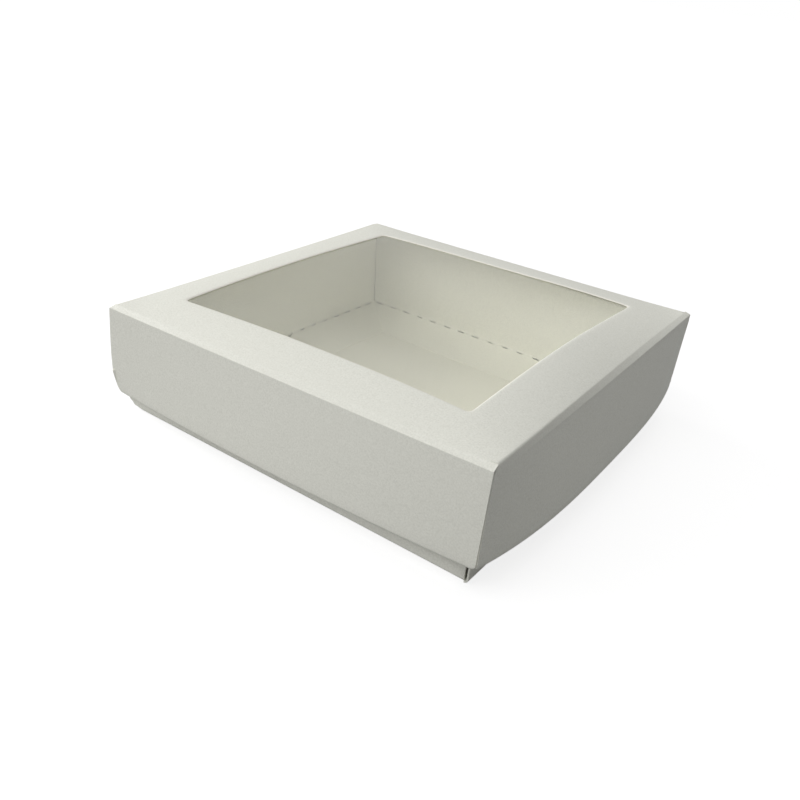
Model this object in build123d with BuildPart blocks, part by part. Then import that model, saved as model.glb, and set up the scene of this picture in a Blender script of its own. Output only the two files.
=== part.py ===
# Favor box: a shallow square tray folded from pearl card, with a slip-over lid that has a window.
# Millimetres, +Z up. The origin is the middle of the tray's underside, and the front faces -Y.
# Each sheet of card is drawn as its panels and flaps, which meet face to face at their creases.
import os

from build123d import *

os.makedirs("parts", exist_ok=True)

# Outside of the closed box
lid_side = 120.0
box_height = 31.5
lid_wall_height = 25.2

# Card, and how it folds
board = 0.5
fold_radius = 0.6
tab_fold_radius = 0.3
tab_play = 0.1
corner_gap = 0.1
tab_end_gap = 0.5

# Lid
crown = 2.1
frame_width = 14.2
window_corner_radius = 1.4
front_bow = 2.9
side_bow = 4.1
lid_tab_length = 22.0
lining_top_gap = 0.1

# Window film and the glue that holds it
film_thickness = 0.2
film_overlap = 8.0
glue_thickness = 0.1
glue_width = 4.0

# Base
lid_clearance = 1.25
rest_gap = 0.35
base_tab_length = 22.0
foot_width = 16.5
mitre_gap = 0.3

# Row of slits that lets the foot flap fold sharply
slit_length = 3.0
slit_pitch = 6.0
slit_width = 0.4

# A double wall is the outer sheet, room for a tab, and the lining
fold_outer = fold_radius + board
roll_inner = board / 2 + tab_play
roll_outer = roll_inner + board
wall_total = 2 * roll_outer
tab_inset = board + tab_play
tab_fold_outer = tab_fold_radius + board

# Levels and halves that the pieces share
panel_half = lid_side / 2 - fold_outer
window_half = lid_side / 2 - frame_width
window_side = 2 * window_half
base_side = lid_side - 2 * (wall_total + lid_clearance)
lid_edge = box_height - lid_wall_height
crown_slope = crown / (panel_half - window_half)
rim_crest_half = base_side / 2 - roll_outer
rim_level = box_height - board + crown_slope * (panel_half - rim_crest_half) - rest_gap
foot_level = 2 * board

# Each side of the box is the front one turned about Z
side_turns = {"front": 0, "right": 90, "back": 180, "left": 270}
lid_bows = {"front": front_bow, "right": side_bow, "back": front_bow, "left": side_bow}

# The lid's front and back walls lap over the ends of the other two, and on the base it is the other way
lid_lapping = ("front", "back")
base_lapping = ("left", "right")

bow_stations = 9
tab_stations = 4


def section_plane(side, half, along=0.0):
    """Plane across a wall: x runs inward from the wall's outer face, y runs up."""
    turn = side_turns[side]
    origin = Vector(along, -half, 0).rotate(Axis.Z, turn)
    inward = Vector(0, 1, 0).rotate(Axis.Z, turn)
    lengthwise = Vector(1, 0, 0).rotate(Axis.Z, turn)
    return Plane(origin=origin, x_dir=inward, z_dir=lengthwise)


def plan_plane(side, half, level):
    """Level plane at a side: x runs along the wall, y runs inward from its outer face."""
    across = section_plane(side, half)
    return Plane(origin=across.origin + Vector(0, 0, level), x_dir=across.z_dir, z_dir=(0, 0, 1))


def spread(start, end, count):
    """Evenly spaced places from start to end."""
    return [start + (end - start) * i / (count - 1) for i in range(count)]


def bow_at(bow, along):
    """How far a lid wall's lower edge stands out, at a place along the wall."""
    return bow * (1 - (along / (lid_side / 2)) ** 2)


def draw_rolled_wall(panel_level, rolled_level, bow=0.0):
    """Section of an outer wall: bend at the panel, sheet, and half-round roll at the free edge."""
    toward = 1 if rolled_level > panel_level else -1
    bend_level = panel_level + toward * fold_outer
    roll_level = rolled_level - toward * roll_outer
    bend_centre = (fold_outer, bend_level)
    roll_centre = (roll_outer - bow, roll_level)
    with BuildLine() as outline:
        CenterArc(bend_centre, fold_outer, 180, toward * 90)
        Line((0, bend_level), (-bow, roll_level))
        CenterArc(roll_centre, roll_outer, 180, -toward * 180)
        Line((wall_total - bow, roll_level), (wall_total - board - bow, roll_level))
        CenterArc(roll_centre, roll_inner, 0, toward * 180)
        Line((board - bow, roll_level), (board, bend_level))
        CenterArc(bend_centre, fold_radius, 180, toward * 90)
        Line((fold_outer, panel_level + toward * board), (fold_outer, panel_level))
    make_face(outline.edges())


def draw_sheet(inset, low, high, low_bow=0.0, high_bow=0.0):
    """Section of a flat sheet that starts at a distance from the wall's outer face."""
    with BuildLine() as outline:
        Polyline(
            (inset - low_bow, low),
            (inset + board - low_bow, low),
            (inset + board - high_bow, high),
            (inset - high_bow, high),
            close=True,
        )
    make_face(outline.edges())


def wall_length(side, outer_side, lapping):
    """A lapping wall runs from corner to corner, and the others stop inside its double wall."""
    if side in lapping:
        return outer_side
    return outer_side - 2 * (wall_total + corner_gap)


def lining_length(side, outer_side, lapping):
    """A lapping wall's lining stops short of the neighbours' folds."""
    if side in lapping:
        return outer_side - 2 * (board + tab_fold_radius)
    return wall_length(side, outer_side, lapping)


def crowned_sheet(half, top_drop, thickness, hole_side=None, hole_radius=None):
    """A sheet that follows the lid's crowned panel, a distance below its upper face."""
    edge_rise = crown_slope * (panel_half - half)
    edge_level = box_height + edge_rise - top_drop
    flat_level = box_height + crown - top_drop
    with BuildPart() as sheet:
        with BuildSketch(Plane.XY.offset(edge_level - thickness)):
            Rectangle(2 * half, 2 * half)
        extrude(amount=thickness)
        with BuildSketch(Plane.XY.offset(edge_level)):
            Rectangle(2 * half, 2 * half)
        with BuildSketch(Plane.XY.offset(flat_level)):
            Rectangle(window_side, window_side)
        loft(ruled=True)
        with BuildSketch(Plane.XY.offset(edge_level - thickness)):
            Rectangle(2 * half, 2 * half)
        with BuildSketch(Plane.XY.offset(flat_level - thickness)):
            Rectangle(window_side, window_side)
        loft(ruled=True, mode=Mode.SUBTRACT)
        if hole_side:
            with BuildSketch(Plane.XY.offset(edge_level - thickness)):
                RectangleRounded(hole_side, hole_side, hole_radius)
            extrude(amount=crown + 2 * thickness, mode=Mode.SUBTRACT)
    return sheet.part


def keep(part, name):
    """Name a finished piece and write it."""
    part.label = name
    export_step(part, f"parts/{name}.step")


# Base floor
with BuildPart() as base_floor:
    with BuildSketch():
        Rectangle(base_side - 2 * fold_outer, base_side - 2 * fold_outer)
    extrude(amount=board)
keep(base_floor.part, "base_floor")

# Base walls, with their rims rolled inward
for side in side_turns:
    with BuildPart() as base_wall:
        with BuildSketch(section_plane(side, base_side / 2)):
            draw_rolled_wall(0, rim_level)
        extrude(amount=wall_length(side, base_side, base_lapping) / 2, both=True)
    keep(base_wall.part, f"base_{side}_wall")

# Base linings, which hang from the rolled rims
for side in side_turns:
    with BuildPart() as base_lining:
        with BuildSketch(section_plane(side, base_side / 2)):
            draw_sheet(wall_total - board, foot_level, rim_level - roll_outer)
        extrude(amount=lining_length(side, base_side, base_lapping) / 2, both=True)
    keep(base_lining.part, f"base_{side}_lining")

# Foot flaps: mitred flaps on the floor that carry the linings, with a row of slits along the crease
foot_start = wall_total - board
foot_end = wall_total + foot_width
foot_start_half = base_side / 2 - wall_total - mitre_gap
foot_end_half = base_side / 2 - foot_end - mitre_gap
slit_count = int(2 * foot_start_half / slit_pitch)
for side in side_turns:
    with BuildPart() as base_foot:
        with BuildSketch(plan_plane(side, base_side / 2, board)):
            with BuildLine():
                Polyline(
                    (-foot_start_half, foot_start),
                    (foot_start_half, foot_start),
                    (foot_start_half, wall_total),
                    (foot_end_half, foot_end),
                    (-foot_end_half, foot_end),
                    (-foot_start_half, wall_total),
                    close=True,
                )
            make_face()
            with Locations((0, wall_total + slit_width / 2)):
                with GridLocations(slit_pitch, 0, slit_count, 1):
                    Rectangle(slit_length, slit_width, mode=Mode.SUBTRACT)
        extrude(amount=board)
    keep(base_foot.part, f"base_{side}_foot")

# Each corner is the front right one, mirrored
corner_mirrors = {
    "front_right": (),
    "front_left": (Plane.YZ,),
    "back_right": (Plane.XZ,),
    "back_left": (Plane.YZ, Plane.XZ),
}

# Base corner tabs: the end of a front or back wall, folded into the side wall
base_half = base_side / 2
base_tab_low = fold_outer + tab_end_gap
base_tab_high = rim_level - roll_outer - tab_end_gap
base_tab_bend = (base_half - tab_inset - tab_fold_outer, tab_fold_outer - base_half)
for corner, mirrors in corner_mirrors.items():
    with BuildPart() as base_tab:
        with BuildSketch(Plane.XY.offset(base_tab_low)):
            with BuildLine():
                Line((base_half - wall_total - corner_gap, -base_half), (base_tab_bend[0], -base_half))
                CenterArc(base_tab_bend, tab_fold_outer, 270, 90)
                Polyline(
                    (base_half - tab_inset, base_tab_bend[1]),
                    (base_half - tab_inset, base_tab_length - base_half),
                    (base_half - tab_inset - board, base_tab_length - base_half),
                    (base_half - tab_inset - board, base_tab_bend[1]),
                )
                CenterArc(base_tab_bend, tab_fold_radius, 270, 90)
                Polyline(
                    (base_tab_bend[0], board - base_half),
                    (base_half - wall_total - corner_gap, board - base_half),
                    (base_half - wall_total - corner_gap, -base_half),
                )
            make_face()
        extrude(amount=base_tab_high - base_tab_low)
        for plane in mirrors:
            mirror(about=plane, mode=Mode.REPLACE)
    keep(base_tab.part, f"base_tab_{corner}")

# Lid panel with its window, raised towards the window's edge
keep(crowned_sheet(panel_half, 0, board, window_side, window_corner_radius), "lid_top_panel")

# Lid walls: straight at the top fold, bowed out at the rolled lower edge
for side in side_turns:
    span = wall_length(side, lid_side, lid_lapping)
    with BuildPart() as lid_wall:
        for along in spread(-span / 2, span / 2, bow_stations):
            with BuildSketch(section_plane(side, lid_side / 2, along)):
                draw_rolled_wall(box_height, lid_edge, bow_at(lid_bows[side], along))
        loft(ruled=True)
    keep(lid_wall.part, f"lid_{side}_wall")

# Lid linings, which stand on the rolled lower edges
lid_lining_top = box_height - board - lining_top_gap
lid_roll_level = lid_edge + roll_outer
for side in side_turns:
    span = lining_length(side, lid_side, lid_lapping)
    with BuildPart() as lid_lining:
        for along in spread(-span / 2, span / 2, bow_stations):
            with BuildSketch(section_plane(side, lid_side / 2, along)):
                draw_sheet(wall_total - board, lid_roll_level, lid_lining_top, bow_at(lid_bows[side], along))
        loft(ruled=True)
    keep(lid_lining.part, f"lid_{side}_lining")

# Lid corner tabs: the end of a side wall, folded into the front or back wall and bowed with it
lid_half = lid_side / 2
lid_bend_level = box_height - fold_outer
lid_tab_low = lid_roll_level + tab_end_gap
lid_tab_high = lid_bend_level - tab_end_gap
lid_tab_bend = (lid_half - tab_fold_outer, tab_inset + tab_fold_outer - lid_half)
low_share = (lid_bend_level - lid_tab_low) / (lid_bend_level - lid_roll_level)
high_share = (lid_bend_level - lid_tab_high) / (lid_bend_level - lid_roll_level)
for corner, mirrors in corner_mirrors.items():
    with BuildPart() as lid_tab:
        with BuildSketch(Plane.XY.offset(lid_tab_low)):
            with BuildLine():
                CenterArc(lid_tab_bend, tab_fold_outer, 270, 90)
                Polyline(
                    (lid_half, lid_tab_bend[1]),
                    (lid_half, wall_total + corner_gap - lid_half),
                    (lid_half - board, wall_total + corner_gap - lid_half),
                    (lid_half - board, lid_tab_bend[1]),
                )
                CenterArc(lid_tab_bend, tab_fold_radius, 270, 90)
                Line((lid_tab_bend[0], tab_inset + board - lid_half), (lid_tab_bend[0], tab_inset - lid_half))
            make_face()
        extrude(amount=lid_tab_high - lid_tab_low)
        for along in spread(lid_tab_bend[0], lid_half - lid_tab_length, tab_stations):
            bow = bow_at(front_bow, along) - bow_at(front_bow, lid_tab_bend[0])
            with BuildSketch(section_plane("front", lid_half, along)):
                draw_sheet(tab_inset, lid_tab_low, lid_tab_high, bow * low_share, bow * high_share)
        loft(ruled=True)
        for plane in mirrors:
            mirror(about=plane, mode=Mode.REPLACE)
    keep(lid_tab.part, f"lid_tab_{corner}")

# Clear film across the window, and the glue band that holds it under the panel
film_half = window_half + film_overlap
film_drop = board + glue_thickness
keep(crowned_sheet(film_half, film_drop, film_thickness), "window_film")
glue_half = film_half - (film_overlap - glue_width) / 2
glue_hole = 2 * (glue_half - glue_width)
keep(crowned_sheet(glue_half, board, glue_thickness, glue_hole, window_corner_radius), "film_glue")
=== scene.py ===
import math

import bmesh
import bpy
from mathutils import Matrix, Vector


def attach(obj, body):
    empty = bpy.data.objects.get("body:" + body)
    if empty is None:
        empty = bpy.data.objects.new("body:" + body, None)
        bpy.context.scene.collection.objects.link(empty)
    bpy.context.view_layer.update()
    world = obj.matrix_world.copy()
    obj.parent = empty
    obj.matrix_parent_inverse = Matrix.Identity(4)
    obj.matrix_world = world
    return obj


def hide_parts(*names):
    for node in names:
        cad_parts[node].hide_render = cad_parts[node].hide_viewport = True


# Favor box in pearl card: a tray and a slip-over lid with a film window.
# Sheets are drawn in millimetres, as flat strips that are folded up, and scaled to metres at the end.
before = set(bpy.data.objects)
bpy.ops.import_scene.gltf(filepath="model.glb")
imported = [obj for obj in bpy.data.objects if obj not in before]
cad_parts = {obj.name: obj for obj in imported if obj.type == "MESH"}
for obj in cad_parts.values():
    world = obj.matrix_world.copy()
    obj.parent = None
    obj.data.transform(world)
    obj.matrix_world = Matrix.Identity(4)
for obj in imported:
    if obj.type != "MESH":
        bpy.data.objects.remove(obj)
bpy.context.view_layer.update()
scene = bpy.context.scene
scene.view_settings.view_transform = "Standard"
mm = 0.001
print("frame:", len(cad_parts), "nodes")


# Materials

def hexColour(text):
    # sRGB to linear
    channels = [int(text[i:i + 2], 16) / 255 for i in (1, 3, 5)]
    return [c / 12.92 if c <= 0.04045 else ((c + 0.055) / 1.055) ** 2.4 for c in channels] + [1]


def addNode(tree, kind, settings=None, links=None):
    node = tree.nodes.new(kind)
    for name, value in (settings or {}).items():
        if isinstance(name, str) and hasattr(node, name):
            setattr(node, name, value)
        else:
            node.inputs[name].default_value = value
    for name, source in (links or {}).items():
        tree.links.new(source, node.inputs[name])
    return node


def newMaterial(name):
    material = bpy.data.materials.new(name)
    material.use_nodes = True
    return material, material.node_tree, material.node_tree.nodes["Principled BSDF"]


def noise(tree, sizeMm, detail):
    place = addNode(tree, "ShaderNodeTexCoord").outputs["Object"]
    settings = {"Scale": 1 / (sizeMm * mm), "Detail": detail}
    return addNode(tree, "ShaderNodeTexNoise", settings, {"Vector": place}).outputs["Fac"]


def colourRamp(tree, value, low, high):
    node = addNode(tree, "ShaderNodeValToRGB", links={"Fac": value})
    node.color_ramp.elements[0].color = hexColour(low)
    node.color_ramp.elements[1].color = hexColour(high)
    return node


def mapRange(tree, value, span, target):
    settings = {"From Min": span[0], "From Max": span[1], "To Min": target[0], "To Max": target[1]}
    return addNode(tree, "ShaderNodeMapRange", settings, {"Value": value}).outputs["Result"]


def speckled(name, look):
    material, tree, shader = newMaterial(name)
    tone = colourRamp(tree, noise(tree, look["grainMm"], look["detail"]), look["low"], look["high"])
    tree.links.new(tone.outputs["Color"], shader.inputs["Base Color"])
    shader.inputs["Roughness"].default_value = look["roughness"]
    return material


# Pearl card: mica-coated paper board, calendered. A soft satin face with a faint sparkle of flakes
# about 0.4 mm across, and slow clouds in the paper under the coating.
pearlLook = {
    "face": "#F0F0E6",
    "flake": "#F7F7ED",
    "dull": "#E9E9DF",
    "toneStops": (0.3, 0.5, 0.72),
    "grainMm": 0.4,
    "grainDetail": 2.0,
    "cloudMm": 9.0,
    "cloudDetail": 3.0,
    "cloudShare": (0.0, 0.35),
    "swing": (0.3, 0.7),
    "roughness": (0.52, 0.4),
    "flash": (0.35, 0.65),
    "specular": (0.05, 0.7),
    "bumpMm": 0.01,
    "bumpStrength": 0.5,
}


def pearlCard(name, look):
    material, tree, shader = newMaterial(name)
    grain = noise(tree, look["grainMm"], look["grainDetail"])
    cloud = noise(tree, look["cloudMm"], look["cloudDetail"])
    tone = colourRamp(tree, grain, look["dull"], look["flake"])
    low, middle, high = look["toneStops"]
    tone.color_ramp.elements[0].position = low
    tone.color_ramp.elements[1].position = high
    tone.color_ramp.elements.new(middle).color = hexColour(look["face"])
    # the clouds even out the flakes
    fade = mapRange(tree, cloud, look["swing"], look["cloudShare"])
    colour = addNode(tree, "ShaderNodeMix", {"data_type": "RGBA"}, {"Factor": fade})
    tree.links.new(tone.outputs["Color"], colour.inputs["A"])
    colour.inputs["B"].default_value = hexColour(look["face"])
    shine = mapRange(tree, grain, look["swing"], look["roughness"])
    flash = mapRange(tree, grain, look["flash"], look["specular"])
    relief = {"Strength": look["bumpStrength"], "Distance": look["bumpMm"] * mm}
    bump = addNode(tree, "ShaderNodeBump", relief, {"Height": grain})
    tree.links.new(colour.outputs["Result"], shader.inputs["Base Color"])
    tree.links.new(shine, shader.inputs["Roughness"])
    tree.links.new(flash, shader.inputs["Specular IOR Level"])
    tree.links.new(bump.outputs["Normal"], shader.inputs["Normal"])
    return material


cardFace = pearlCard("pearlCardFace", pearlLook)

# Cut edge of the board: bare pulp, rougher than the coating, and painted whiter than it: the pulp's own colour
# lightened into a painted highlight, for the light line along the window's cut edge.
pulpAndHighlightLook = {"low": "#F2EEE4", "high": "#FCFAF2", "grainMm": 0.25, "detail": 3.0, "roughness": 0.85}
cutEdgeWithPaintedHighlight = speckled("cutBoardPulpPaintedHighlight", pulpAndHighlightLook)

# Dried white glue: a thin milky skin under the panel, with small lumps.
glueLook = {"low": "#E0DDCE", "high": "#EDEBDF", "grainMm": 1.6, "detail": 2.0, "roughness": 0.35}
dryGlue = speckled("driedWhiteGlue", glueLook)

# Window film: clear PVC sheet, calendered smooth. Faintly cream, with an even sheen of the room on it.
# Lamp light passes it straight.
filmLook = {"tint": "#FDFCF3", "ior": 1.5, "specular": 0.25, "roughness": 0.012}
clearFilm, tree, shader = newMaterial("clearPvcFilm")
shader.inputs["Base Color"].default_value = hexColour(filmLook["tint"])
shader.inputs["IOR"].default_value = filmLook["ior"]
shader.inputs["Roughness"].default_value = filmLook["roughness"]
shader.inputs["Specular IOR Level"].default_value = filmLook["specular"]
shader.inputs["Transmission Weight"].default_value = 1.0
rays = addNode(tree, "ShaderNodeLightPath")
lampRay = addNode(tree, "ShaderNodeMath", {"operation": "MAXIMUM"},
                  {0: rays.outputs["Is Shadow Ray"], 1: rays.outputs["Is Diffuse Ray"]})
clear = addNode(tree, "ShaderNodeBsdfTransparent", {"Color": (1, 1, 1, 1)})
pane = addNode(tree, "ShaderNodeMixShader",
               links={"Fac": lampRay.outputs["Value"], 1: shader.outputs["BSDF"], 2: clear.outputs["BSDF"]})
tree.links.new(pane.outputs["Shader"], tree.nodes["Material Output"].inputs["Surface"])

print("materials:", cardFace.name, cutEdgeWithPaintedHighlight.name, clearFilm.name, dryGlue.name)


# Folding card

card = {
    "board": 0.5,
    "fold": 1.1,
    "roll": 0.85,
    "wall": 1.7,
    "pressed": 0.3,
    "sharpAngle": 40,
}
sideTurns = {"front": 0, "right": 90, "back": 180, "left": 270}

# The lid sits askew: its right side is not pushed all the way down
seat = {"turn": -1.18, "pivot": (-57.0, 0.0, 20.0), "drop": 0.5}
pivot = Vector(seat["pivot"])
lidSeat = Matrix.Translation(pivot - Vector((0, 0, seat["drop"])))
lidSeat = lidSeat @ Matrix.Rotation(math.radians(seat["turn"]), 4, "Y") @ Matrix.Translation(-pivot)


def stops(part, count, last=False):
    return [(part, i / count) for i in range(count + int(last))]


def foldStrip(rows, columns, place):
    # a flat grid whose rows run along the wall, moved row by row to where the folded card is
    bm = bmesh.new()
    bmesh.ops.create_grid(bm, x_segments=columns, y_segments=len(rows) - 1, size=1)
    for v in bm.verts:
        part, share = rows[round((v.co.y + 1) / 2 * (len(rows) - 1))]
        v.co = place(part, share, v.co.x)
    return bm


def makePiece(name, bm, body, nodes, materials, thickness=None, pressed=()):
    # pressed lists the corners where the board is squeezed thin
    if body == "lid":
        bmesh.ops.transform(bm, matrix=lidSeat, verts=bm.verts)
    bmesh.ops.scale(bm, vec=(mm, mm, mm), verts=bm.verts)
    mesh = bpy.data.meshes.new(name)
    bm.to_mesh(mesh)
    bm.free()
    piece = bpy.data.objects.new(name, mesh)
    scene.collection.objects.link(piece)
    for material in materials:
        mesh.materials.append(material)
    if thickness:
        shell = piece.modifiers.new("thickness", "SOLIDIFY")
        shell.thickness = thickness * mm
        shell.offset = -1
        shell.use_even_offset = True
        shell.material_offset_rim = 1
        if pressed:
            piece.vertex_groups.new(name="pressed").add(pressed, 1.0, "REPLACE")
            shell.vertex_group = "pressed"
            shell.invert_vertex_group = True
            shell.thickness_vertex_group = card["pressed"]
        graph = bpy.context.evaluated_depsgraph_get()
        piece.data = bpy.data.meshes.new_from_object(piece.evaluated_get(graph))
        piece.modifiers.clear()
    piece.data.shade_smooth()
    piece.data.set_sharp_from_angle(angle=math.radians(card["sharpAngle"]))
    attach(piece, body)
    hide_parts(*nodes)
    print(name, len(piece.data.polygons), "faces")


# Lid panel: the frame round the window, domed up towards the window's edge

panel = {
    "board": 0.35,
    "half": 58.2,
    "top": 31.5,
    "edgeRise": 0.3,
    "windowHalf": 45.8,
    "windowRound": 1.4,
    "windowInset": 0.45,
    "crown": 1.8,
    "midRise": 0.4,
    "sideRise": {"front": 1.2, "right": 1.8, "back": 0.4, "left": 0.9},
    "cornerRise": 0.45,
    "dome": 0.35,
    "sidePower": 4,
    "runSteps": 60,
    "roundSteps": 6,
    "frameSteps": 14,
    "cutWidth": 0.5,
    "cutDrop": 0.28,
    "cutPower": 1.3,
    "cutSteps": 4,
    "weld": 0.001,
    "underSlack": 0.01,
}


def panelLevel(x, y):
    reach = panel["half"] - panel["windowHalf"]
    lift, middle = 1, 1
    for place in (abs(x), abs(y)):
        share = min(1, max(0, (panel["half"] - place) / reach))
        lift *= share * (1 + panel["dome"] * (1 - share))
        middle *= min(1, place / panel["windowHalf"]) ** 2
    # each side of the frame is drawn up by its own amount at its middle
    rises = panel["sideRise"]
    acrossX = x * x / max(x * x + y * y, 0.001)
    side = acrossX * rises["right" if x > 0 else "left"] + (1 - acrossX) * rises["back" if y > 0 else "front"]
    outward = min(1, max(abs(x), abs(y)) / panel["windowHalf"])
    rise = panel["midRise"] + (side - panel["midRise"]) * outward ** panel["sidePower"]
    # and the outer edge stands a little higher at the back left corner
    corner = panel["cornerRise"] * (1 - x / panel["half"]) * (1 + y / panel["half"]) / 4
    return panel["top"] + panel["edgeRise"] + corner * (1 - lift) + lift * (panel["crown"] + rise * (1 - middle))


def frameOutline(step, half, radius):
    # a rounded square, walked side by side: each side is a straight run and then the round at its end
    side, step = divmod(step, panel["runSteps"] + panel["roundSteps"])
    x, y = (2 * min(1, step / panel["runSteps"]) - 1) * (half - radius), -half
    if step > panel["runSteps"]:
        turn = (step - panel["runSteps"]) / panel["roundSteps"] * math.pi / 2
        x, y = half - radius + radius * math.sin(turn), radius - half - radius * math.cos(turn)
    turn = math.radians(side * 90)
    return x * math.cos(turn) - y * math.sin(turn), x * math.sin(turn) + y * math.cos(turn)


def frameRing(outerHalf, innerHalf, innerRound, rows, place):
    steps = 4 * (panel["runSteps"] + panel["roundSteps"])

    def walk(part, share, across):
        share, inset, fall = place(part, share)
        half = outerHalf + share * (innerHalf - outerHalf) + inset
        x, y = frameOutline(round((across + 1) / 2 * steps) % steps, half, share * innerRound)
        # the right strip of the frame is cut a little wider
        x -= share * panel["windowInset"] * max(0, x) / half
        return x, y, panelLevel(x, y) - fall

    bm = foldStrip(rows, steps, walk)
    bmesh.ops.remove_doubles(bm, verts=bm.verts, dist=panel["weld"])
    return bm


def placePanel(part, share):
    # over the top, down the rounded cut round the window, and back underneath
    if part == "top":
        return share, share * panel["cutWidth"], 0
    if part == "cut":
        return 1, panel["cutWidth"] * (1 - share), panel["cutDrop"] * share ** panel["cutPower"]
    return 1 - share, 0, panel["board"]


rows = stops("top", panel["frameSteps"]) + stops("cut", panel["cutSteps"], True)
rows += stops("under", panel["frameSteps"], True)
bm = frameRing(panel["half"], panel["windowHalf"], panel["windowRound"], rows, placePanel)
bmesh.ops.bridge_loops(bm, edges=[edge for edge in bm.edges if edge.is_boundary])
bmesh.ops.recalc_face_normals(bm, faces=bm.faces)
for face in bm.faces:
    middle = face.calc_center_median()
    windowX = middle.x + panel["windowInset"] * max(0, middle.x) / panel["windowHalf"]
    onCut = max(abs(windowX), abs(middle.y)) < panel["windowHalf"] + panel["cutWidth"]
    underside = panelLevel(middle.x, middle.y) - panel["board"]
    face.material_index = int(onCut and middle.z > underside + panel["underSlack"])
makePiece("lidPanel", bm, "lid", ["lid_top_panel"], [cardFace, cutEdgeWithPaintedHighlight])


# Window film, and the band of glue that holds it under the panel

film = {"half": 53.8, "thickness": 0.2, "columns": 60}
glue = {"outerHalf": 51.8, "width": 4.0, "thickness": 0.04}


def placeFilm(part, share, across):
    x, y = across * film["half"], (2 * share - 1) * film["half"]
    return x, y, panelLevel(x, y) - panel["board"] - glue["thickness"]


bm = foldStrip(stops("film", film["columns"], True), film["columns"], placeFilm)
makePiece("windowFilm", bm, "lid", ["window_film"], [clearFilm, clearFilm], film["thickness"])
rows = stops("glue", panel["frameSteps"], True)
bm = frameRing(glue["outerHalf"], glue["outerHalf"] - glue["width"], panel["windowRound"], rows,
               lambda part, share: (share, 0, panel["board"]))
makePiece("filmGlue", bm, "lid", ["film_glue"], [dryGlue, dryGlue], glue["thickness"])


# Lid walls: a fold with two creases and a flat band between them, straight at the top,
# bowed out at the rolled lower edge. Pairs are for a wall's start and its end.

lidWalls = {
    "half": 60.0,
    "edge": 6.2,
    "liningTop": 30.9,
    "lowRound": 0.25,
    "band": 1.75,
    "highRound": 0.6,
    "columns": 150,
    "bandRoom": 0.95,
    "slopeStep": 0.2,
    "roundPower": 2.2,
    "roundFade": 2.5,
    "front": {
        "reach": (60.4, 60.0), "liningReach": 59.2, "bow": 2.2, "power": 2.0, "skew": 0.0, "outs": (0.5, 1.7),
        "follow": (0.0, 0.0), "tilt": (30, 33), "rounds": ((3.3, 5.8), (1.0, 0.8)),
        "mitres": (0.9, 0), "swell": (0.35, 0),
    },
    "right": {
        "reach": (59.42, 59.9), "liningReach": 58.1, "bow": 4.5, "power": 3.0, "skew": 0.8, "outs": (0.1, -0.7),
        "follow": (2.0, -0.4), "tilt": (86, 18), "rounds": ((0.3, 0.3), (2.0, 2.0)),
        "mitres": (0.6, 0), "swell": (0, 0),
    },
    "back": {
        "reach": (60.0, 60.0), "liningReach": 59.2, "bow": 2.9, "power": 2.0, "skew": 0.0, "outs": (0.0, 0.0),
        "follow": (-0.9, 0.0), "tilt": (75, 75), "rounds": ((2.5, 2.5), (2.5, 2.5)),
        "mitres": (0.95, 0.6), "swell": (0, 0),
    },
    "left": {
        "reach": (59.35, 59.35), "liningReach": 58.1, "bow": 4.1, "power": 2.0, "skew": 0.0, "outs": (0.0, 0.0),
        "follow": (0.0, 0.5), "tilt": (75, 75), "rounds": ((2.0, 2.0), (3.5, 6.0)),
        "mitres": (0.6, 0.6), "swell": (0, 0),
    },
}
lidRows = stops("lining", 8) + stops("roll", 14) + stops("wall", 18) + stops("lowCrease", 6) + stops("band", 3)
lidRows += stops("highCrease", 4) + stops("lip", 1, True)


def foldStep(part, share, tilt, slope):
    # how far in and up from the wall's top: low crease, flat band, high crease, then a lip to the panel's edge
    low, high = lidWalls["lowRound"], lidWalls["highRound"]
    width = lidWalls["half"] - panel["half"]
    room = lidWalls["bandRoom"] * width - low * (1 - math.sin(tilt)) - high * (math.sin(tilt) - math.sin(slope))
    band = min(lidWalls["band"], room / math.cos(tilt))
    turn = math.pi / 2 + share * (tilt - math.pi / 2) if part == "lowCrease" else tilt
    inward, up = low * (1 - math.sin(turn)), low * math.cos(turn)
    if part == "lowCrease":
        return inward, up
    run = band * share if part == "band" else band
    inward, up = inward + run * math.cos(tilt), up + run * math.sin(tilt)
    if part == "band":
        return inward, up
    turn = tilt + share * (slope - tilt) if part == "highCrease" else slope
    inward += high * (math.sin(tilt) - math.sin(turn))
    up += high * (math.cos(turn) - math.cos(tilt))
    lip = share * (width - inward) if part == "lip" else 0
    return inward + lip, up + lip * math.tan(slope)


def lidBow(wall, along, low):
    s = along / lidWalls["half"]
    out = wall["bow"] * (1 - abs(s) ** wall["power"]) - wall["skew"] * s * (1 - s * s)
    return low * (out + wall["outs"][0] * (1 - s) / 2 + wall["outs"][1] * (1 + s) / 2)


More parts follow.
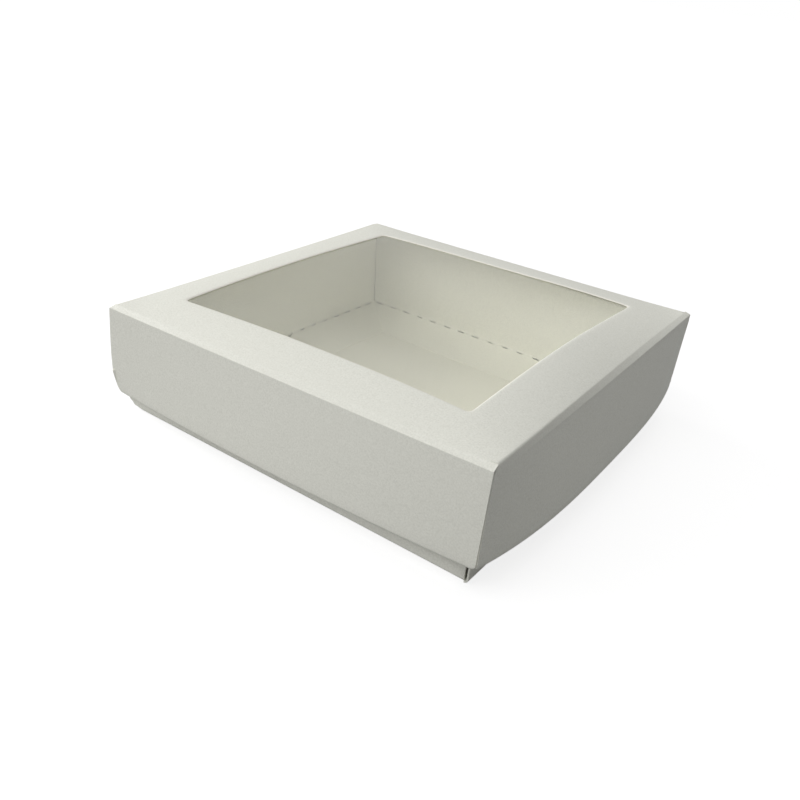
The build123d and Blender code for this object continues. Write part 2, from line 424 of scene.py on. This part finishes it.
def lidPoint(side, part, share, across):
    wall, turn = lidWalls[side], Matrix.Rotation(math.radians(sideTurns[side]), 2)
    spread = math.sin(across * math.pi / 2)  # columns gather at the ends
    atEnd = int(spread > 0)
    reach = wall["reach"][atEnd]
    along = reach * spread
    step = lidWalls["slopeStep"]
    seamLevel = panelLevel(*(turn @ Vector((along, -panel["half"]))))
    slope = math.atan((panelLevel(*(turn @ Vector((along, step - panel["half"])))) - seamLevel) / step)
    tilt = math.radians(wall["tilt"][0] + (wall["tilt"][1] - wall["tilt"][0]) * (1 + spread) / 2)
    foldLevel = seamLevel - foldStep("lip", 1, tilt, slope)[1]
    rollLevel = lidWalls["edge"] + card["roll"]
    if part in ("lowCrease", "band", "highCrease", "lip"):
        inward, up = foldStep(part, share, tilt, slope)
        return (reach - wall["mitres"][atEnd] * up) * spread, inward, foldLevel + up
    if part == "wall":
        inward, up = 0, rollLevel + share * (foldLevel - rollLevel)
    elif part == "roll":
        inward = card["roll"] * (1 + math.cos(share * math.pi))
        up = rollLevel - card["roll"] * math.sin(share * math.pi)
        reach = wall["liningReach"] + share * (reach - wall["liningReach"])
    else:
        inward, up = card["wall"], lidWalls["liningTop"] + share * (rollLevel - lidWalls["liningTop"])
        reach = wall["liningReach"]
    low = min(1, max(0, (foldLevel - up) / (foldLevel - rollLevel)))
    if part != "lining":
        reach += wall["follow"][atEnd] * low * (share if part == "roll" else 1)
        reach += wall["swell"][atEnd] * math.sin(math.pi * low)
    wide, tall = wall["rounds"][atEnd]
    over = max(0, abs(reach * spread) - reach + wide) / wide
    above = (up - lidWalls["edge"]) / (lidWalls["roundFade"] * tall)
    up += tall * over ** lidWalls["roundPower"] * max(0, 1 - above)
    return reach * spread, inward - lidBow(wall, along, low), up


def foldLidWall(side):
    def place(part, share, across):
        along, inward, up = lidPoint(side, part, share, across)
        return along, inward - lidWalls["half"], up

    return foldStrip(lidRows, lidWalls["columns"], place)


for side, turn in sideTurns.items():
    bm = foldLidWall(side)
    bmesh.ops.rotate(bm, verts=bm.verts, matrix=Matrix.Rotation(math.radians(turn), 3, "Z"))
    makePiece(f"lid{side.title()}Wall", bm, "lid", [f"lid_{side}_wall", f"lid_{side}_lining"],
              [cardFace, cardFace], card["board"])

# Corner tabs of the lid, slipped between the front or back wall and its lining
lidTabs = {
    "inward": 0.7,
    "board": 0.4,
    "low": 9.0,
    "high": 29.5,
    "start": 38.0,
    "end": 58.4,
    "rows": 16,
    "columns": 16,
}


def foldLidTab(wall, sign):
    def place(part, share, across):
        middle, half = (lidTabs["start"] + lidTabs["end"]) / 2, (lidTabs["end"] - lidTabs["start"]) / 2
        along = sign * middle + across * half
        up = lidTabs["low"] + share * (lidTabs["high"] - lidTabs["low"])
        low = (panel["top"] - up) / (panel["top"] - lidWalls["edge"] - card["roll"])
        return along, lidTabs["inward"] - lidBow(wall, along, min(1, low)) - lidWalls["half"], up

    return foldStrip(stops("tab", lidTabs["rows"], True), lidTabs["columns"], place)


for corner, side, sign in (("front_left", "front", -1), ("front_right", "front", 1),
                           ("back_right", "back", -1), ("back_left", "back", 1)):
    bm = foldLidTab(lidWalls[side], sign)
    bmesh.ops.rotate(bm, verts=bm.verts, matrix=Matrix.Rotation(math.radians(sideTurns[side]), 3, "Z"))
    makePiece("lidTab" + corner.title().replace("_", ""), bm, "lid", [f"lid_tab_{corner}"],
              [cardFace, cutEdgeWithPaintedHighlight], lidTabs["board"])


# Tray walls: up from the floor, rolled over at the rim, down inside, and in along the floor as a foot flap.
# Pairs are for a wall's start and its end, and a lean is how far and over what length, at start and end.

trayWalls = {
    "rim": 30.85,
    "crease": 0.8,
    "footWidth": 16.5,
    "footLevel": 0.65,
    "footHalf": 38.55,
    "slitPitch": 6.0,
    "slitLength": 2.6,
    "slitBand": (0.05, 0.25),
    "columns": 147,
    "footEnd": (40.55, 0.66),
    "leanPower": 1.5,
    "roundPower": 2,
    "roundFade": 8,
    "front": {
        "half": 57.05, "reach": (57.75, 55.9), "liningReach": (55.2, 55.2), "creaseReach": 55.05,
        "creaseLevels": (2.0, 2.0), "lean": (0.5, 20, 0.5, 20), "trim": (0, 0), "rounds": ((5.5, 1.7), (1, 0)),
    },
    "right": {
        "half": 57.05, "reach": (57.05, 57.05), "liningReach": (56.2, 56.2), "creaseReach": 55.05,
        "creaseLevels": (2.0, 2.0), "lean": (0.5, 20, 0.5, 20), "trim": (0, 0), "rounds": ((1, 0), (1, 0)),
    },
    "back": {
        "half": 57.05, "reach": (55.9, 56.65), "liningReach": (55.2, 55.95), "creaseReach": 55.05,
        "creaseLevels": (3.8, 3.2), "lean": (0.5, 20, 0.6, 12), "trim": (0, 1.25), "rounds": ((1, 0), (1, 0)),
    },
    "left": {
        "half": 57.8, "reach": (57.05, 56.0), "liningReach": (55.9, 55.9), "creaseReach": 55.05,
        "creaseLevels": (3.2, 2.6), "lean": (2.1, 70, 0.5, 20), "trim": (0.3, 0), "rounds": ((1, 0), (1, 0)),
    },
}
trayRows = stops("bend", 8) + stops("wall", 10) + stops("roll", 14) + stops("lining", 12)
trayRows += stops("crease", 6) + stops("foot", 8, True)


def creaseLevel(wall, across):
    # the foot flaps spring up a little, so the crease stands off the floor
    start, end = wall["creaseLevels"]
    return start + (end - start) * (1 + across) / 2


def trayPoint(wall, part, share, across):
    roll, fold, crease = card["roll"], card["fold"], trayWalls["crease"]
    atEnd = int(across > 0)
    reach, liningReach = wall["reach"][atEnd], wall["liningReach"][atEnd]
    along = across * reach
    rollLevel = trayWalls["rim"] - roll
    if part in ("bend", "wall"):
        turn = share * math.pi / 2
        inward, up = fold * (1 - math.sin(turn)), fold * (1 - math.cos(turn))
        if part == "wall":
            inward, up = 0, fold + share * (rollLevel - fold)
        wide, tall = wall["rounds"][atEnd]
        over = max(0, abs(along) - reach + wide) / wide
        up += tall * over ** trayWalls["roundPower"] * max(0, 1 - up / trayWalls["roundFade"])
        return along, inward, up
    if part == "roll":
        along = across * (reach + share * (liningReach - reach))
        return along, roll * (1 - math.cos(share * math.pi)), rollLevel + roll * math.sin(share * math.pi)
    startLean, startSpan, endLean, endSpan = wall["lean"]
    lean = startLean * max(0, 1 - reach * (1 + across) / startSpan) ** trayWalls["leanPower"]
    lean += endLean * max(0, 1 - reach * (1 - across) / endSpan) ** trayWalls["leanPower"]
    creaseReach = wall["creaseReach"] - wall["trim"][atEnd]
    footReach = trayWalls["footHalf"] - wall["trim"][atEnd]
    level = creaseLevel(wall, across)
    if part == "lining":
        along = across * (liningReach + share * (creaseReach - liningReach))
        return along, card["wall"] + lean * share, rollLevel + share * (level + crease - rollLevel)
    if part == "crease":
        turn = share * math.pi / 2
        inward = card["wall"] + lean + crease * (1 - math.cos(turn))
        return across * creaseReach, inward, level + crease * (1 - math.sin(turn))
    along = across * (creaseReach + share * (footReach - creaseReach))
    inward = card["wall"] + lean + crease + share * (trayWalls["footWidth"] - crease)
    return along, inward, level + share * (trayWalls["footLevel"] - level)


def foldTrayWall(wall):
    def place(part, share, across):
        along, inward, up = trayPoint(wall, part, share, across)
        return along, inward - wall["half"], up

    bm = foldStrip(trayRows, trayWalls["columns"], place)
    # the creasing knife's short cuts: faces on the crease are left out, pitch by pitch
    low, high = trayWalls["slitBand"]
    pitch, length = trayWalls["slitPitch"], trayWalls["slitLength"]
    cuts = []
    for face in bm.faces:
        middle = face.calc_center_median()
        level = (middle.z - creaseLevel(wall, middle.x / wall["creaseReach"])) / trayWalls["crease"]
        onCrease = wall["half"] + middle.y > card["wall"] and low < level < high
        if onCrease and abs(middle.x % pitch - pitch / 2) < length / 2:
            cuts.append(face)
    bmesh.ops.delete(bm, geom=cuts, context="FACES")
    return bm


for side, turn in sideTurns.items():
    bm = foldTrayWall(trayWalls[side])
    bm.verts.index_update()
    within, below = trayWalls["footEnd"]
    footEnd = [v.index for v in bm.verts if abs(v.co.y) < within and v.co.z < below]
    bmesh.ops.rotate(bm, verts=bm.verts, matrix=Matrix.Rotation(math.radians(turn), 3, "Z"))
    nodes = [f"base_{side}_wall", f"base_{side}_lining", f"base_{side}_foot"]
    # The tray walls' cut edges, round the slits and at the foot's end, take the coated face's colour, a shade
    # greyer than the pulp: painted shade that darkens the slits and the foot edges.
    makePiece(f"tray{side.title()}Wall", bm, "base", nodes, [cardFace, cardFace], card["board"], footEnd)

# Corner tabs of the tray, turned round the corner and slipped between the left or right wall and its lining
trayTabs = {"inward": 0.6, "low": 2.2, "high": 29.4, "start": 35.05, "end": 55.4, "rows": 8, "columns": 16}


def foldTrayTab(wall, sign):
    def place(part, share, across):
        middle, half = (trayTabs["start"] + trayTabs["end"]) / 2, (trayTabs["end"] - trayTabs["start"]) / 2
        up = trayTabs["low"] + share * (trayTabs["high"] - trayTabs["low"])
        return sign * middle + across * half, trayTabs["inward"] - wall["half"], up

    return foldStrip(stops("tab", trayTabs["rows"], True), trayTabs["columns"], place)


for corner, side, sign in (("front_left", "left", 1), ("back_left", "left", -1),
                           ("front_right", "right", -1), ("back_right", "right", 1)):
    bm = foldTrayTab(trayWalls[side], sign)
    bmesh.ops.rotate(bm, verts=bm.verts, matrix=Matrix.Rotation(math.radians(sideTurns[side]), 3, "Z"))
    makePiece("trayTab" + corner.title().replace("_", ""), bm, "base", [f"base_tab_{corner}"],
              [cardFace, cutEdgeWithPaintedHighlight], card["board"])

trayFloor = {"left": -56.7, "right": 55.95, "half": 55.95, "steps": 20}
bm = bmesh.new()
bmesh.ops.create_grid(bm, x_segments=trayFloor["steps"], y_segments=trayFloor["steps"], size=1)
bmesh.ops.scale(bm, vec=((trayFloor["right"] - trayFloor["left"]) / 2, trayFloor["half"], 1), verts=bm.verts)
bmesh.ops.translate(bm, vec=((trayFloor["right"] + trayFloor["left"]) / 2, 0, card["board"]), verts=bm.verts)
makePiece("trayFloor", bm, "base", ["base_floor"], [cardFace, cutEdgeWithPaintedHighlight], card["board"])


# Floor, light and camera

studio = {"ambient": 0.19, "backdrop": 1.0, "mirrored": 0.38}
stage = {"half": 3.0, "steps": 8, "drop": 0.0001, "colour": "#A0A0A0", "glow": (0.8, 1.0), "glowM": (0.12, 0.45)}


def seenShare(tree):
    # the camera sees the pale studio in full, also through the film, and the card mirrors a part of it
    rays = addNode(tree, "ShaderNodeLightPath")
    direct = addNode(tree, "ShaderNodeMath", {"operation": "MAXIMUM"},
                     {0: rays.outputs["Is Camera Ray"], 1: rays.outputs["Is Transmission Ray"]})
    mirrored = addNode(tree, "ShaderNodeMath", {"operation": "MULTIPLY", 1: studio["mirrored"]},
                       {0: rays.outputs["Is Glossy Ray"]})
    seen = addNode(tree, "ShaderNodeMath", {"operation": "MAXIMUM"},
                   {0: direct.outputs["Value"], 1: mirrored.outputs["Value"]})
    return seen.outputs["Value"]


bm = bmesh.new()
bmesh.ops.create_grid(bm, x_segments=stage["steps"], y_segments=stage["steps"], size=stage["half"])
mesh = bpy.data.meshes.new("paleFloor")
bm.to_mesh(mesh)
bm.free()
floor = bpy.data.objects.new("paleFloor", mesh)
floor.location.z = -stage["drop"]
scene.collection.objects.link(floor)
paleFloor, tree, shader = newMaterial("paleFloorPaper")
tree.nodes.remove(shader)
place = addNode(tree, "ShaderNodeTexCoord").outputs["Object"]
away = addNode(tree, "ShaderNodeVectorMath", {"operation": "LENGTH"}, {0: place})
glow = mapRange(tree, away.outputs["Value"], stage["glowM"], stage["glow"])
level = addNode(tree, "ShaderNodeMath", {"operation": "MULTIPLY"}, {0: glow, 1: seenShare(tree)})
paper = addNode(tree, "ShaderNodeBsdfDiffuse", {"Color": hexColour(stage["colour"])})
white = addNode(tree, "ShaderNodeEmission", {"Color": (1, 1, 1, 1)}, {"Strength": level.outputs["Value"]})
both = addNode(tree, "ShaderNodeAddShader", links={0: paper.outputs["BSDF"], 1: white.outputs["Emission"]})
tree.links.new(both.outputs["Shader"], tree.nodes["Material Output"].inputs["Surface"])
mesh.materials.append(paleFloor)

world = bpy.data.worlds.new("paleStudio")
scene.world = world
world.use_nodes = True
tree = world.node_tree
tree.nodes.clear()
dim = addNode(tree, "ShaderNodeBackground", {"Color": (1, 1, 1, 1), "Strength": studio["ambient"]})
bright = addNode(tree, "ShaderNodeBackground", {"Color": (1, 1, 1, 1), "Strength": studio["backdrop"]})
sky = addNode(tree, "ShaderNodeMixShader",
              links={"Fac": seenShare(tree), 1: dim.outputs["Background"], 2: bright.outputs["Background"]})
addNode(tree, "ShaderNodeOutputWorld", links={"Surface": sky.outputs["Shader"]})


def addLamp(name, at, turn, size, watts):
    light = bpy.data.lights.new(name, "AREA")
    light.shape = "RECTANGLE"
    light.size, light.size_y = size
    light.energy = watts
    lamp = bpy.data.objects.new(name, light)
    lamp.location = at
    lamp.rotation_euler = turn
    scene.collection.objects.link(lamp)


softboxSize = (0.55, 0.55)
softboxes = {
    "keySoftbox": {"at": (-0.42, -0.48, 0.70), "watts": 1.47},
    "frontSoftbox": {"at": (0, -0.57, 0.76), "watts": 1.67},
    "cornerSoftbox": {"at": (0.42, 0.48, 0.70), "watts": 0.73},
    "backSoftbox": {"at": (0, 0.57, 0.76), "watts": 0.92},
    "frontLowSoftbox": {"at": (0, -0.85, 0.38), "watts": 0.37},
    "keyLowSoftbox": {"at": (-0.57, -0.66, 0.38), "watts": 1.34},
    "leftLowSoftbox": {"at": (-0.85, 0, 0.38), "watts": 3.37},
}
for name, lamp in softboxes.items():
    aim = (-Vector(lamp["at"])).to_track_quat("-Z", "Y").to_euler()
    addLamp(name, lamp["at"], aim, softboxSize, lamp["watts"])

# Glow off the table under the lid's front edge, which lights the tray's strip
bounce = {"at": (-0.001, -0.0605, 0.0004), "turn": (125, 0, 0), "size": (0.112, 0.003), "watts": 0.0004}
addLamp("bounceCard", bounce["at"], [math.radians(a) for a in bounce["turn"]], bounce["size"], bounce["watts"])

camera = {
    "at": (0.12136, -0.19525, 0.12541),
    "turn": (61.209, -5.257, 36.408),
    "sensor": 36,
    "lens": 38.63,
    "shift": (0.0195, 0.0079),
    "near": 0.01,
}
lens = bpy.data.cameras.new("photoCamera")
lens.sensor_width = camera["sensor"]
lens.lens = camera["lens"]
lens.shift_x, lens.shift_y = camera["shift"]
lens.clip_start = camera["near"]
photoCamera = bpy.data.objects.new("photoCamera", lens)
photoCamera.location = camera["at"]
photoCamera.rotation_euler = [math.radians(a) for a in camera["turn"]]
scene.collection.objects.link(photoCamera)
scene.camera = photoCamera
print("floor, lamps and camera set")
